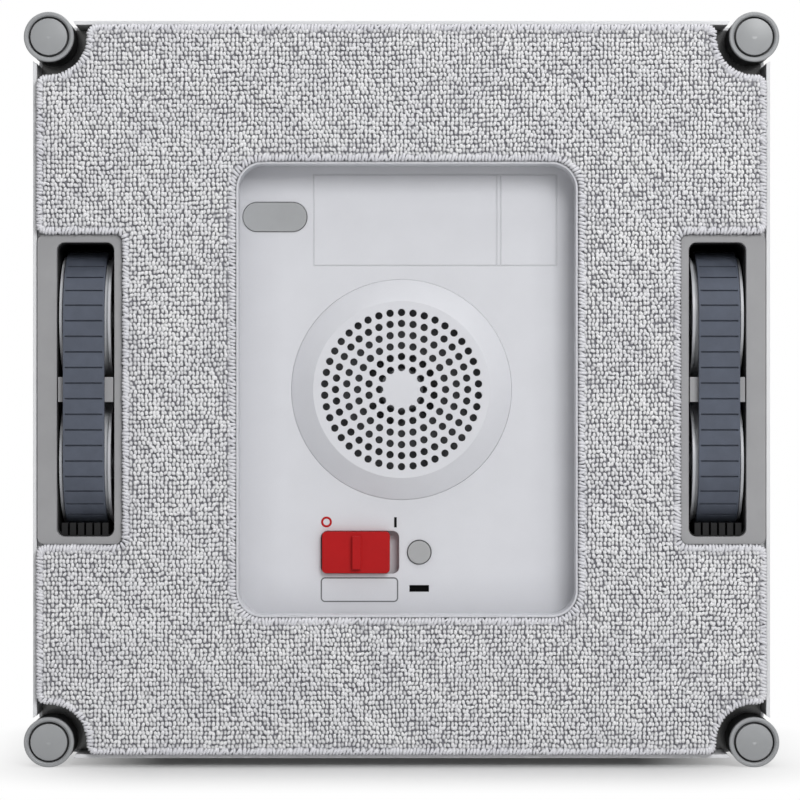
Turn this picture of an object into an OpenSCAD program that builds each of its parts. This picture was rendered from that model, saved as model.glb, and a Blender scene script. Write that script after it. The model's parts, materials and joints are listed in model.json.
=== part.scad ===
// Window cleaning robot, standing upright as it works on a pane.
// X runs to the right and Z up, seen from the glass. Y runs from the glass into the room.
// The glass is the plane y = 0, and the origin is the middle of the cleaning face.
// A depth is a distance behind the glass, and left and right are as seen from the glass.

/* [Body] */
// Half of the body's width and height, to the outside of the rim
body_half = 119.7; // [118:0.1:124]
// Radius of the body's corners behind the rollers
body_corner_r = 14; // [10:0.5:16]
// Thickness of the casing walls
wall = 2.2; // [1.6:0.1:2.6]
// Thickness of the rim that frames the pad
rim_wall = 1.2; // [0.8:0.1:1.6]
// Depth of the rim's front edge
rim_front = 3.4; // [2.4:0.1:4.2]
// Thickness of the base plate
plate_t = 2.6; // [2:0.1:3.4]
// Depth of the seam between the two casings
seam_y = 28; // [25:0.5:32]

/* [Pad] */
// Gap between the pad and the rim round it
pad_gap = 0.2; // [0.1:0.05:1]
// Thickness of the pad
pad_t = 4.6; // [4:0.1:6]
// Thickness of the hook strips that hold the pad
strip_t = 0.8; // [0.5:0.1:1.2]
// Width of the window in the middle of the pad
pad_window_w = 111.5; // [100:0.5:114]
// Height of the window in the middle of the pad
pad_window_h = 148.4; // [146:0.2:152]
// How far the window's middle lies to the right
pad_window_x = 1.8; // [-3:0.1:3]
// Radius of the window's corners
pad_window_r = 9; // [6:0.5:12]
// Radius of the cut-out round each corner roller
pad_notch_r = 12.5; // [11.5:0.1:13.5]
// Radius of the pad's round outer corners
pad_round = 3; // [1.5:0.1:3.8]

/* [Suction tray] */
// How far the tray's inside stands in from the edge of the pad's window
tray_inset = 1; // [0.6:0.1:2]
// Depth of the tray's floor
tray_floor = 13; // [12:0.1:15]
// Thickness of the tray's floor
tray_t = 2; // [1.6:0.1:2.4]
// Thickness of the tray's side walls
tray_wall = 1.6; // [1.2:0.1:2]

/* [Suction grille] */
// Radius of the grille's flat disc
grille_flat_r = 28.9; // [28:0.1:30]
// Radius of the grille's foot on the tray
grille_foot_r = 36.2; // [34:0.1:38]
// How far the flat disc stands above the tray's floor
grille_rise = 4.5; // [3:0.1:5]
// Thickness of the flat disc
grille_t = 1.8; // [1.2:0.1:2.2]
// Diameter of one suction hole
hole_d = 2.4; // [1.6:0.1:2.8]
// Radius of the innermost ring of holes
hole_ring_r = 7.18; // [6.5:0.05:7.2]
// Step from one ring of holes to the next
hole_step = 3.6; // [3.4:0.01:3.6]
// Number of rings of holes
hole_rings = 6; // [3:1:6]

/* [Tracks] */
// Distance of each tread's middle from the side of the body
track_in = 16.7; // [16.2:0.1:17.7]
// Width of the tread belt
belt_w = 13.3; // [12:0.1:13.6]
// Radius of the belt's outside round a wheel
belt_r = 22; // [20:0.1:23]
// Thickness of the belt
belt_t = 2.2; // [1.6:0.1:2.8]
// Distance between the two wheels of a track
wheel_span = 47; // [46:0.1:50]
// Number of cross grooves round the belt
groove_count = 46; // [30:1:60]
// Width of a cross groove
groove_w = 0.5; // [0.3:0.1:0.8]
// Depth of a cross groove
groove_t = 0.6; // [0.3:0.1:0.9]
// Radius of the flanges beside the belt
flange_r = 20.4; // [19:0.1:21]
// Thickness of a flange
flange_t = 0.9; // [0.6:0.1:1.1]
// Height of the bar between the wheels, behind the belt
support_h = 8.1; // [6:0.1:9]
// Depth of the bezel's front
bezel_front = 2.4; // [1.6:0.1:3]

/* [Drive] */
// Module of the gears
gear_module = 0.7; // [0.6:0.05:0.75]
// Teeth of the gear on the drive shaft
gear_teeth = 32; // [28:2:34]
// Teeth of the motor's pinion
pinion_teeth = 16; // [14:2:18]
// Face width of the gears
gear_w = 5; // [4:0.5:6]
// Radius of the drive shaft
drive_shaft_r = 3; // [2.5:0.1:3.5]
// Radius of the idler axle
idler_axle_r = 2.5; // [2:0.1:3]
// Radius of the drive motor
motor_r = 12; // [10:0.5:12]
// Length of the drive motor
motor_l = 32; // [24:1:34]

/* [Corner rollers] */
// Distance of each roller's axis from the two sides of the body that meet at its corner
roller_in = 5.3; // [4.7:0.1:5.9]
// Radius of a roller
roller_r = 8.1; // [7.6:0.1:8.3]
// Depth of the roller cap's front
cap_front = 1; // [0.4:0.1:1.4]
// Depth of the roller's foot
roller_back = 16.8; // [14:0.1:18]
// Radius of the roller's pin
roller_pin_r = 2; // [1.6:0.1:2.4]
// Radius of the disc in the middle of the cap
cap_disc_r = 5.93; // [5:0.05:6]
// Width of the dark groove round that disc
cap_groove = 0.67; // [0.4:0.01:0.9]

/* [Fan] */
// Radius of the fan's housing
fan_r = 38; // [37:0.5:40]
// Depth of the housing's back
fan_back = 40; // [36:0.5:42]
// Radius of the impeller
impeller_r = 33; // [30:0.5:33.5]
// Number of impeller blades
blade_count = 9; // [7:1:11]
// Radius of the fan's shaft
fan_shaft_r = 2; // [1.5:0.1:2.5]
// Radius of the fan's motor
fan_motor_r = 18; // [14:0.5:20]
// Length of the fan's motor
fan_motor_l = 26; // [20:0.5:27]

/* [Back casing] */
// Depth that the domed back would reach in the middle
dome_top = 72.2; // [70:0.2:74]
// Depth of the domed back at the body's corners
dome_corner = 36.3; // [35:0.1:40]
// Radius of the edge between the dome and the sides
back_edge_r = 6; // [3:0.5:7]
// Radius of the round hub in the middle of the back
hub_r = 72; // [72:0.5:76]
// Depth of the hub's top
hub_top = 86; // [85:0.5:90]
// Radius of the hub's upper edge
hub_edge_r = 6; // [4:0.5:6]
// Width of the grip pocket in the hub
pocket_w = 96; // [88:0.5:96]
// Height of the grip pocket in the hub
pocket_h = 72; // [60:0.5:74]
// Radius of the grip pocket's corners
pocket_r = 14; // [8:0.5:18]
// Depth of the grip pocket's floor
pocket_floor = 70; // [69:0.5:74]

/* [Handle] */
// Depth of the handle's top
handle_top = 107; // [104:0.5:112]
// Half of the handle's length
handle_half = 64; // [62:0.5:64]
// Thickness of the handle's legs
leg_t = 14; // [10:0.5:14]
// Width of the handle
handle_w = 24; // [18:0.5:24]
// Thickness of the handle's bar
bar_t = 15; // [12:0.5:17]

/* [Controls] */
// Width of the power switch's slot
slot_w = 25.65; // [24:0.05:28]
// Height of the power switch's slot
slot_h = 14; // [12:0.1:14.4]
// Place of the slot's middle across the body
slot_x = -13.6; // [-15:0.01:-12]
// Height of the slot's middle above the body's middle
slot_z = -53.3; // [-54:0.1:-52]
// Width of the power switch's knob
knob_w = 22.2; // [20:0.1:22.4]
// Diameter of the round button beside it
reset_d = 7.5; // [6:0.1:8]
// Place of the round button across the body
reset_x = 5.8; // [5.5:0.1:8]
// Travel of the round button
reset_travel = 1; // [0.5:0.1:1.2]
// Width of the pill-shaped sensor window
sensor_w = 20.9; // [16:0.1:22]
// Height of the pill-shaped sensor window
sensor_h = 9.5; // [8:0.1:11]
// Diameter of the start button
start_d = 12.4; // [10:0.1:12.4]
// Travel of the start button
start_travel = 0.8; // [0.4:0.1:1]

/* [Hidden] */
$fn = 96;
fine_fn = 360;
// Overrun of every cut past the face that it opens
over = 1;
// Flat stretch left between the two round ends of a pill-shaped outline
pill_flat = 0.1;
// Gap between still pieces that slip into each other
slip = 0.2;
// Gap between faces that move past each other
run_gap = 0.3;
// Radial clearance of a shaft in its bearing
bearing_gap = 0.05;

// Base casing
face_y = pad_t + strip_t;
plate_back = face_y + plate_t;
rim_in = body_half - rim_wall;
pad_half = rim_in - pad_gap;
screw_boss_r = 5;
screw_boss_t = 2.5;
screw_boss_back = plate_back + screw_boss_t;
screw_in_x = 35.7;
screw_in_z = 31.7;
screw_in_mid = 8.7;
screw_x = body_half - screw_in_x;
screw_z = body_half - screw_in_z;
screw_mid_z = body_half - screw_in_mid;
screw_spots = [
    [-screw_x, -screw_z], [screw_x, -screw_z], [-screw_x, screw_z], [screw_x, screw_z],
    [0, -screw_mid_z], [0, screw_mid_z]
];
screw_head_r = 2.8;
screw_head_t = 1.8;
screw_r = 1.4;
screw_l = 16;
screw_recess_r = 3.2;
screw_post_r = 4;

// Corner rollers and the black brackets that carry them
roller_c = body_half - roller_in;
cup_r = 15;
cup_wall = 2;
notch_r = 9.4;
bracket_floor_t = 2.5;
bracket_floor = roller_back + run_gap;
bracket_back = bracket_floor + bracket_floor_t;
bracket_in_r = 12.9;
bracket_front = 7;
bracket_facets = 12;
corner_back = bracket_back + wall;
cap_t = 2.2;
cap_back = cap_front + cap_t;
cap_dome = 0.5;
cap_ring_set = 0.35;
cap_bevel = 0.5;
roller_crown_t = 1.2;
roller_bore_front = cap_back + roller_crown_t;
pin_front = roller_bore_front + run_gap;
tyre_set = 0.1;
tyre_r = roller_r - tyre_set;

// Hook strips
strip_w = 20;
strip_end_in = 34.7;
strip_in = 22.7;
strip_side_l = 112;
strip_bezel_gap = 2.9;
strip_z = body_half - strip_in;
strip_long = 2 * (body_half - strip_end_in);

// Suction tray
tray_w = pad_window_w - 2 * tray_inset;
tray_h = pad_window_h - 2 * tray_inset;
tray_r = pad_window_r - tray_inset;
tray_front = pad_t + run_gap;
lip_front = 1.6;
lip_w = tray_inset - run_gap;
tray_back = tray_floor + tray_t;
tray_flange = 5;
tray_flange_t = 1.6;
inlet_r = 30;
emboss_t = 0.12;
emboss_w = 0.35;
emboss_left = -29;
emboss_right = 51;
emboss_low = 40.5;
emboss_high = 70.7;
emboss_split = 31;
emboss_gap = 1.3;

// Suction grille
grille_front = tray_floor - grille_rise;
grille_in_r = 27.8;
ring_start_count = 12;
ring_more_count = 6;
gasket_t = 1.2;
gasket_in = 31;
gasket_out = 36;

// Sensor window, at the tray's upper left
sensor_x = -41.5;
sensor_z = 56.6;
sensor_proud = 0.4;
sensor_lip = 1.5;
sensor_lip_t = 1.2;

// Power switch
slot_r = 2.2;
knob_left_gap = 0.4;
knob_h = slot_h - 2 * slip;
knob_r = 1.4;
knob_proud = 2.2;
ridge_w = 2.8;
ridge_rise = 1.8;
ridge_share = 0.51;
knob_left = slot_x - slot_w / 2 + knob_left_gap;
knob_foot = 0.9;
knob_foot_t = 1.5;
knob_back = tray_back + run_gap + knob_foot_t;
switch_wall = 2.8;
switch_floor = knob_back + run_gap;
switch_t = 11;
switch_back = tray_back + switch_t;
reset_r = reset_d / 2;
reset_flange = 1.3;
reset_flange_r = reset_r + reset_flange;
reset_flange_t = 1;
reset_proud = 0.8;
switch_right = reset_x + reset_flange_r + run_gap + switch_wall;
switch_left = slot_x - slot_w / 2 - switch_wall;
switch_high = slot_z + slot_h / 2 + switch_wall;
switch_low = slot_z - slot_h / 2 - switch_wall;

// Service port, below the round button
port_w = 6.4;
port_h = 2.2;
port_drop = 11.9;
port_set = 0.4;
port_back_w = 10;
port_back_h = 3.8;
port_back_t = 3;

// Tracks
track_x = body_half - track_in;
wheel_y = belt_r;
drive_z = -wheel_span / 2;
idler_z = wheel_span / 2;
belt_in_r = belt_r - belt_t;
drum_r = belt_in_r - run_gap;
belt_low = track_x - belt_w / 2;
belt_high = track_x + belt_w / 2;
window_gap_in = 3.15;
window_gap_out = 2.25;
window_gap_end = 2.3;
window_low = belt_low - window_gap_in;
window_high = belt_high + window_gap_out;
window_half_h = wheel_span / 2 + belt_r + window_gap_end;
window_r = 2.6;
flange_gap_in = 1;
flange_gap_out = 0.45;
flange_in = belt_low - flange_gap_in;
flange_out = belt_high + flange_gap_out;
well_step = 0.4;
well_wall = 1.5;
well_low = window_low + well_step;
well_high = window_high - well_step;
well_half_h = window_half_h - well_step;
well_spare = 1.5;
well_floor = 2 * belt_r + well_spare;
well_flange = 3;
bezel_side = 2.5;
bezel_end = 2.4;
bezel_gap = 0.3;
bezel_r = 2.3;
bezel_low = window_low - bezel_side;
bezel_high = rim_in - bezel_gap;
bezel_half_h = window_half_h + bezel_end;
strip_side_x = bezel_low - strip_bezel_gap - strip_w / 2;
comb_count = 6;
comb_pitch = 2.65;
comb_w = 2;
comb_h = 4;
comb_t = 4.2;
groove_margin = 0.6;
groove_phase_share = 0.4;
straight_l = wheel_span;
belt_path = 2 * PI * belt_r + 2 * straight_l;
groove_pitch = belt_path / groove_count;
support_front = belt_t + run_gap;
support_back = 9;
rim_thick = 2;
hub_wheel_r = 6;
web_t = 3;

// Drive
pressure_angle = 25;
gear_add_share = 0.9;
gear_ded_share = 1.1;
gear_root_share = 0.05;
gear_backlash = 0.12;
flank_steps = 4;
gear_axis_gap = gear_module * (gear_teeth + pinion_teeth) / 2;
pinion_y = wheel_y + gear_axis_gap;
gear_tip_r = gear_module * (gear_teeth / 2 + gear_add_share);
pinion_tip_r = gear_module * (pinion_teeth / 2 + gear_add_share);
gear_room = 0.75;
box_wall = 1.8;
box_high = well_low - well_wall;
gear_gap_out = 1.6;
gear_gap_in = 0.6;
gear_high = box_high - gear_gap_out;
gear_low = gear_high - gear_w;
box_low = gear_low - gear_gap_in - box_wall;
box_half_h = gear_tip_r + gear_room + box_wall;
box_front = plate_back + slip;
box_back = pinion_y + pinion_tip_r + gear_room + box_wall;
motor_shaft_r = 1.5;
motor_shaft_in = 9;
motor_flat_r = 8;
motor_cap_t = 2;

// Fan
fan_wall = 2;
fan_front = tray_back + gasket_t;
fan_plate_t = 1.2;
fan_inlet_r = 12.6;
fan_collar_r = 19.6;
fan_collar_gap = 1.7;
fan_collar_front = grille_front + grille_t + fan_collar_gap;
impeller_gap_front = 1;
impeller_gap_back = 2;
impeller_front = fan_front + fan_plate_t + impeller_gap_front;
impeller_back = fan_back - fan_wall - impeller_gap_back;
impeller_plate_t = 1.6;
impeller_eye_r = 13;
impeller_hub_r = 7;
blade_t = 1.2;
blade_set = 0.5;
blade_bend_r = 24;
blade_bend_turn = 62;
duct_half = 15;
duct_wall = 1.6;
duct_step = 3;
duct_front = fan_front + duct_step;
duct_back = fan_back - fan_wall;
duct_low = 30;
vent_in = 19.7;
vent_h = 21;
vent_high = body_half - vent_in;
vent_low = vent_high - vent_h;
shaft_set = 1;
shaft_end = 5;
shaft_front = impeller_front + shaft_set;
shaft_back = fan_back + fan_motor_l - shaft_end;

// Battery and control board
cell_count = 4;
cell_d = 14.2;
cell_pitch = 13.6;
cell_l = 50;
wrap_t = 0.4;
wrap_set = 0.8;
battery_gap = 1;
battery_front = switch_back + battery_gap;
battery_in = 14.9;
battery_low = battery_in - body_half;
battery_high = battery_low + cell_l + 2 * wrap_t;
cradle_t = 2;
cradle_in = 3.8;
cradle_step = 14;
cradle_low_z = battery_low + cradle_in;
cradle_high_z = cradle_low_z + cradle_step;
board_left = 22;
board_w = 56;
board_h = 25;
board_in = 11.7;
board_right = board_left + board_w;
board_high = body_half - board_in;
board_low = board_high - board_h;
board_y = 24;
board_t = 1.6;
board_post_r = 3;
board_post_in = 4;
chip_t = 2.4;
chip_w = 12;
chip_h = 9;
chip_gap = 6;

// Back casing
corner_reach = (body_half - body_corner_r) * sqrt(2) + body_corner_r;
dome_drop = dome_top - dome_corner;
dome_r = (corner_reach * corner_reach + dome_drop * dome_drop) / (2 * dome_drop);
dome_y = dome_top - dome_r;
edge_set = 0.05;
edge_turn = 44;
side_turns = [0, 90, 180, 270];
hub_flange_w = 4;
hub_flange_t = 2;
post_bore_l = 14;
vent_slots = 7;
vent_slot_h = 1.8;
vent_slot_half = 13;
filter_t = 2.5;
boss_x = 62;
boss_in = 31.7;
boss_z = body_half - boss_in;
boss_r = 10;
boss_top = 63;
inlet_flange_r = 7.5;
inlet_flange_t = 1.5;
inlet_body_r = 5.6;
inlet_bore_r = 4;
inlet_bore_l = 11;
inlet_floor_t = 2;
inlet_front = boss_top + inlet_flange_t;
contact_r = 0.9;
contact_x = 1.9;
contact_t = 0.1;
eye_bore_r = 4;
eye_ring = 4;
eye_t = 6;
eye_rise = 9;
eye_foot_w = 14;
eye_foot_h = 17;
eye_foot_t = 2;

// Handle
handle_out_r = 17;
handle_edge_r = 5;
grip_half = 34;
grip_w = 11;
grip_t = 1.2;
grip_proud = 0.3;

// Start button
start_z = -53;
start_r = start_d / 2;
start_proud = 0.9;
start_flange = 1;
start_flange_t = 0.9;
start_under = hub_top - wall;
light_step = 0.6;
light_in = start_r + run_gap + light_step;
light_w = 1.8;
light_t = 1;
light_proud = 0.2;
stage_half = 13;
stage_half_h = 8;
stage_rib_t = 2;
stage_rib_l = 6;
stage_t = 1.6;
tact_r = 3;
tact_gap = 0.4;
stage_front = start_under - stage_rib_l - stage_t;

// Extrudes an outline in X and Z from depth y0 to depth y1
module slab(y0, y1) {
    translate([0, y1, 0]) rotate([90, 0, 0]) linear_extrude(y1 - y0) children();
}

// Extrudes an outline in Y and Z from x0 to x1
module bar(x0, x1) {
    translate([x0, 0, 0]) rotate([90, 0, 90]) linear_extrude(x1 - x0) children();
}

// Round rod along Y
module rod_y(r, y0, y1) {
    translate([0, y0, 0]) rotate([-90, 0, 0]) cylinder(r = r, h = y1 - y0);
}

// Round rod along X at depth y and height z
module rod_x(r, x0, x1, y, z) {
    translate([x0, y, z]) rotate([0, 90, 0]) cylinder(r = r, h = x1 - x0);
}

// Turns a profile of radius and depth about an axis along Y
module turned() {
    rotate([-90, 0, 0]) rotate_extrude() children();
}

// Rectangle with round corners, around the origin
module round_rect(w, h, r) {
    square([w - 2 * r, h], center = true);
    square([w, h - 2 * r], center = true);
    for (sx = [-1, 1])
        for (sz = [-1, 1])
            translate([sx * (w / 2 - r), sz * (h / 2 - r)]) circle(r);
}

// Rectangle from one corner to the opposite one
module box2(x0, z0, x1, z1) {
    translate([x0, z0]) square([x1 - x0, z1 - z0]);
}

// Places an outline at each of the four rollers
module at_rollers() {
    for (sx = [-1, 1])
        for (sz = [-1, 1])
            translate([sx * roller_c, sz * roller_c]) children();
}

// Repeats a solid for the four corners, mirrored from the upper right one
module four_corners() {
    for (mx = [0, 1])
        for (mz = [0, 1])
            mirror([mx, 0, 0]) mirror([0, 0, mz]) children();
}

// Mirrors a right-hand piece to the left
module left() {
    mirror([1, 0, 0]) children();
}

// Cut between an outline's straight edge and a roller's cut-out, which leaves a round corner
module notch_blend() {
    fz = roller_c - sqrt(pow(pad_notch_r + pad_round, 2) - pow(pad_half - pad_round - roller_c, 2));
    difference() {
        polygon([
            [pad_half - pad_round, fz], [pad_half + over, fz],
            [pad_half + over, roller_c], [roller_c, roller_c]
        ]);
        translate([pad_half - pad_round, fz]) circle(pad_round);
    }
}

module pad_outline() {
    notch_low = bezel_low - bezel_gap;
    notch_half = bezel_half_h + bezel_gap;
    difference() {
        square(2 * pad_half, center = true);
        at_rollers() circle(pad_notch_r);
        for (mx = [0, 1])
            for (mz = [0, 1])
                mirror([mx, 0]) mirror([0, mz]) {
                    notch_blend();
                    mirror([1, -1]) notch_blend();
                    difference() {
                        box2(pad_half - pad_round, notch_half, pad_half + over, notch_half + pad_round);
                        translate([pad_half - pad_round, notch_half + pad_round]) circle(pad_round);
                    }
                }
        for (sx = [-1, 1])
            translate([sx * (notch_low + bezel_r + pad_half), 0])
                round_rect(2 * (pad_half + bezel_r), 2 * notch_half, bezel_r);
        translate([pad_window_x, 0]) round_rect(pad_window_w, pad_window_h, pad_window_r);
    }
}

module cleaning_pad() {
    color("gainsboro") slab(0, pad_t) pad_outline();
}

module hook_strips() {
    color("dimgray") slab(pad_t, face_y) {
        for (sz = [-1, 1])
            translate([0, sz * strip_z]) square([strip_long, strip_w], center = true);
        for (sx = [-1, 1])
            translate([sx * strip_side_x, 0]) square([strip_w, strip_side_l], center = true);
    }
}

module body_outline(inset) {
    round_rect(2 * (body_half - inset), 2 * (body_half - inset), body_corner_r - inset);
}

module tray_outline(grow) {
    translate([pad_window_x, 0]) round_rect(tray_w + 2 * grow, tray_h + 2 * grow, tray_r + grow);
}

// Outline of one track's window or well, grown by the same amount all round
module well_outline(grow) {
    w = well_high - well_low + 2 * grow;
    translate([(well_low + well_high) / 2, 0]) round_rect(w, 2 * (well_half_h + grow), window_r);
}

module screw_cuts() {
    for (p = screw_spots)
        translate([p[0], 0, p[1]]) {
            rod_y(screw_recess_r, face_y - over, plate_back);
            rod_y(screw_r + bearing_gap, face_y, screw_boss_back + over);
        }
}

module cradle() {
    half = cell_count * cell_pitch / 2;
    for (z = [cradle_low_z, cradle_high_z])
        slab(plate_back, battery_front) box2(-half, z - cradle_t / 2, half, z + cradle_t / 2);
}

module board_posts() {
    for (x = [board_left + board_post_in, board_right - board_post_in])
        for (z = [board_low + board_post_in, board_high - board_post_in])
            translate([x, 0, z]) rod_y(board_post_r, plate_back, board_y);
}

module base_shell() {
    color("whitesmoke") {
        difference() {
            union() {
                slab(rim_front, bracket_back) square(2 * body_half, center = true);
                slab(bracket_back, seam_y) body_outline(0);
            }
            slab(rim_front - over, face_y) square(2 * rim_in, center = true);
            slab(plate_back, corner_back) difference() {
                body_outline(wall);
                at_rollers() circle(cup_r + cup_wall);
            }
            slab(corner_back, seam_y + over) body_outline(wall);
            slab(face_y - over, bracket_back) intersection() {
                at_rollers() circle(cup_r);
                square(2 * rim_in, center = true);
            }
            slab(rim_front - over, bracket_back) at_rollers() circle(notch_r);
            slab(rim_front, corner_back + over) at_rollers() circle(roller_pin_r);
            slab(face_y - over, plate_back + over) {
                tray_outline(tray_wall + slip);
                well_outline(well_wall + slip);
                mirror([1, 0]) well_outline(well_wall + slip);
            }
            screw_cuts();
        }
        difference() {
            for (p = screw_spots)
                translate([p[0], 0, p[1]]) rod_y(screw_boss_r, plate_back, screw_boss_back);
            screw_cuts();
        }
        cradle();
        board_posts();
    }
}

// Fine raised lines on the tray's floor, drawn as shallow grooves
module emboss_lines() {
    slab(tray_floor - over, tray_floor + emboss_t) {
        difference() {
            box2(emboss_left, emboss_low, emboss_right, emboss_high);
            box2(emboss_left + emboss_w, emboss_low + emboss_w,
                 emboss_right - emboss_w, emboss_high - emboss_w);
        }
        for (x = [emboss_split, emboss_split + emboss_gap])
            box2(x, emboss_low, x + emboss_w, emboss_high);
    }
}

module slot_outline(grow) {
    translate([slot_x, slot_z]) round_rect(slot_w + 2 * grow, slot_h + 2 * grow, slot_r);
}

module sensor_outline(grow) {
    translate([sensor_x, sensor_z])
        round_rect(sensor_w + 2 * grow, sensor_h + 2 * grow, (sensor_h - pill_flat) / 2 + grow);
}

module suction_tray() {
    color("gainsboro") difference() {
        union() {
            slab(lip_front, tray_front) tray_outline(lip_w);
            slab(tray_front, tray_back) tray_outline(tray_wall);
            slab(plate_back, plate_back + tray_flange_t) tray_outline(tray_wall + tray_flange);
        }
        slab(lip_front - over, tray_floor) tray_outline(0);
        emboss_lines();
        slab(tray_floor - over, tray_back + over) {
            circle(inlet_r);
            slot_outline(0);
            sensor_outline(slip);
            translate([reset_x, slot_z]) circle(reset_r + run_gap);
            translate([reset_x, slot_z - port_drop])
                square([port_w, port_h], center = true);
        }
    }
}

module suction_grille() {
    spigot_r = inlet_r - slip;
    color("gainsboro") difference() {
        turned() polygon([
            [0, grille_front], [grille_flat_r, grille_front], [grille_foot_r, tray_floor],
            [spigot_r, tray_floor], [spigot_r, tray_back], [grille_in_r, tray_back],
            [grille_in_r, grille_front + grille_t], [0, grille_front + grille_t]
        ]);
        for (i = [0 : hole_rings - 1])
            let (count = ring_start_count + ring_more_count * i, r = hole_ring_r + hole_step * i)
                for (k = [0 : count - 1])
                    let (a = 90 + 360 * k / count)
                        translate([r * cos(a), 0, r * sin(a)])
                            rod_y(hole_d / 2, grille_front - over, grille_front + grille_t + over);
    }
}

module grille_gasket() {
    color("dimgray") slab(tray_back, fan_front) difference() {
        circle(gasket_out);
        circle(gasket_in);
    }
}

module sensor_window() {
    color("darkgray") {
        slab(tray_floor - sensor_proud, tray_back) sensor_outline(0);
        slab(tray_back, tray_back + sensor_lip_t) sensor_outline(sensor_lip);
    }
}

module switch_body() {
    color("gainsboro") difference() {
        slab(tray_back, switch_back) box2(switch_left, switch_low, switch_right, switch_high);
        slab(tray_back - over, switch_floor) slot_outline(knob_foot);
        translate([reset_x, 0, slot_z])
            rod_y(reset_flange_r + run_gap, tray_back - over,
                  tray_back + reset_flange_t + reset_travel + 2 * run_gap);
    }
}

module power_knob() {
    mid = knob_left + knob_w / 2;
    ridge_left = knob_left + knob_w * ridge_share - ridge_w / 2;
    knob_front = tray_floor - knob_proud;
    color("firebrick") {
        slab(knob_front, knob_back) translate([mid, slot_z]) round_rect(knob_w, knob_h, knob_r);
        slab(knob_back - knob_foot_t, knob_back)
            translate([mid, slot_z]) square([knob_w - 2 * knob_r, knob_h + 2 * knob_foot], center = true);
        slab(knob_front - ridge_rise, knob_front)
            box2(ridge_left, slot_z - knob_h / 2 + knob_r,
                 ridge_left + ridge_w, slot_z + knob_h / 2 - knob_r);
    }
}

module reset_button() {
    color("lightgray") translate([reset_x, 0, slot_z]) {
        rod_y(reset_r, tray_floor - reset_proud, tray_back + reset_flange_t);
        rod_y(reset_flange_r, tray_back, tray_back + reset_flange_t);
    }
}

module service_port() {
    color("black") translate([reset_x, 0, slot_z - port_drop]) {
        slab(tray_floor + port_set, tray_back) square([port_w, port_h], center = true);
        slab(tray_back, tray_back + port_back_t) square([port_back_w, port_back_h], center = true);
    }
}

module track_bezel() {
    mid = (bezel_low + bezel_high) / 2;
    window_w = window_high - window_low;
    color("darkgray") slab(bezel_front, face_y) difference() {
        translate([mid, 0]) round_rect(bezel_high - bezel_low, 2 * bezel_half_h, bezel_r);
        translate([(window_low + window_high) / 2, 0])
            round_rect(window_w, 2 * window_half_h, window_r);
    }
}
module left_track_bezel() { left() track_bezel(); }
module right_track_bezel() { track_bezel(); }

module comb() {
    for (i = [0 : comb_count - 1])
        let (x = track_x + (i - (comb_count - 1) / 2) * comb_pitch)
            slab(face_y, face_y + comb_t)
                box2(x - comb_w / 2, -well_half_h - well_wall / 2, x + comb_w / 2, -well_half_h + comb_h);
}

// Fixing tabs above and below the well
module well_tabs() {
    half = well_half_h + well_wall + well_flange;
    box2(well_low, -half, well_high, half);
}

module track_well() {
    color("#19191c") {
        difference() {
            union() {
                slab(face_y, well_floor + well_wall) well_outline(well_wall);
                slab(plate_back, plate_back + tray_flange_t) well_tabs();
            }
            slab(face_y - over, well_floor) well_outline(0);
            rod_x(drive_shaft_r + bearing_gap, box_high - over, well_high + 2 * over, wheel_y, drive_z);
            rod_x(idler_axle_r, box_high - over, well_high + 2 * over, wheel_y, idler_z);
        }
        comb();
    }
}
module left_track_well() { left() track_well(); }
module right_track_well() { track_well(); }

module belt_outline(r) {
    translate([wheel_y, drive_z]) circle(r);
    translate([wheel_y, idler_z]) circle(r);
    translate([wheel_y - r, drive_z]) square([2 * r, wheel_span]);
}

// Place and tilt of the belt's surface at a distance along it, from the middle of its front run
function belt_at(s) =
    let (arc = PI * belt_r, half = straight_l / 2, u = s > belt_path / 2 ? s - belt_path : s)
    abs(u) <= half ? [0, u, 0]
    : abs(u) <= half + arc
        ? let (a = (abs(u) - half) / belt_r * 180 / PI, side = sign(u))
          [wheel_y - belt_r * cos(a), side * (half + belt_r * sin(a)), side * a]
    : [2 * belt_r, sign(u) * (half - (abs(u) - half - arc)), 180];

module belt_grooves() {
    long = belt_w - 2 * groove_margin;
    for (i = [0 : groove_count - 1])
        let (p = belt_at((i + groove_phase_share) * groove_pitch))
            translate([track_x, p[0], p[1]]) rotate([-p[2], 0, 0])
                translate([0, (groove_t - over) / 2, 0])
                    cube([long, groove_t + over, groove_w], center = true);
}

module tread_belt() {
    color("slategray") difference() {
        bar(belt_low, belt_high) difference() {
            belt_outline(belt_r);
            belt_outline(belt_in_r);
        }
        belt_grooves();
    }
}
module left_tread_belt() { left() tread_belt(); }
module right_tread_belt() { tread_belt(); }

module track_supports() {
    for (mx = [0, 1])
        mirror([mx, 0, 0]) color("darkgray") bar(well_low, well_high)
            translate([support_front, -support_h / 2]) square([support_back - support_front, support_h]);
}

// Wheel with a drum inside the belt and a flange on each side of it
module wheel(z, bore_r) {
    mid = (flange_in + flange_out) / 2;
    color("silver") difference() {
        union() {
            rod_x(drum_r, flange_in, flange_out, wheel_y, z);
            rod_x(flange_r, flange_in - flange_t, flange_in, wheel_y, z);
            rod_x(flange_r, flange_out, flange_out + flange_t, wheel_y, z);
        }
        for (x = [flange_in - flange_t - over, mid + web_t / 2])
            difference() {
                rod_x(drum_r - rim_thick, x, x + mid - web_t / 2 - flange_in + flange_t + over,
                      wheel_y, z);
                rod_x(hub_wheel_r, x - over, flange_out + flange_t, wheel_y, z);
            }
        rod_x(bore_r, flange_in - over - flange_t, flange_out + flange_t + over, wheel_y, z);
    }
}
module left_drive_wheel() { left() wheel(drive_z, drive_shaft_r); }
module right_drive_wheel() { wheel(drive_z, drive_shaft_r); }
module left_idler_wheel() { left() wheel(idler_z, idler_axle_r + bearing_gap); }
module right_idler_wheel() { wheel(idler_z, idler_axle_r + bearing_gap); }

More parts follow.
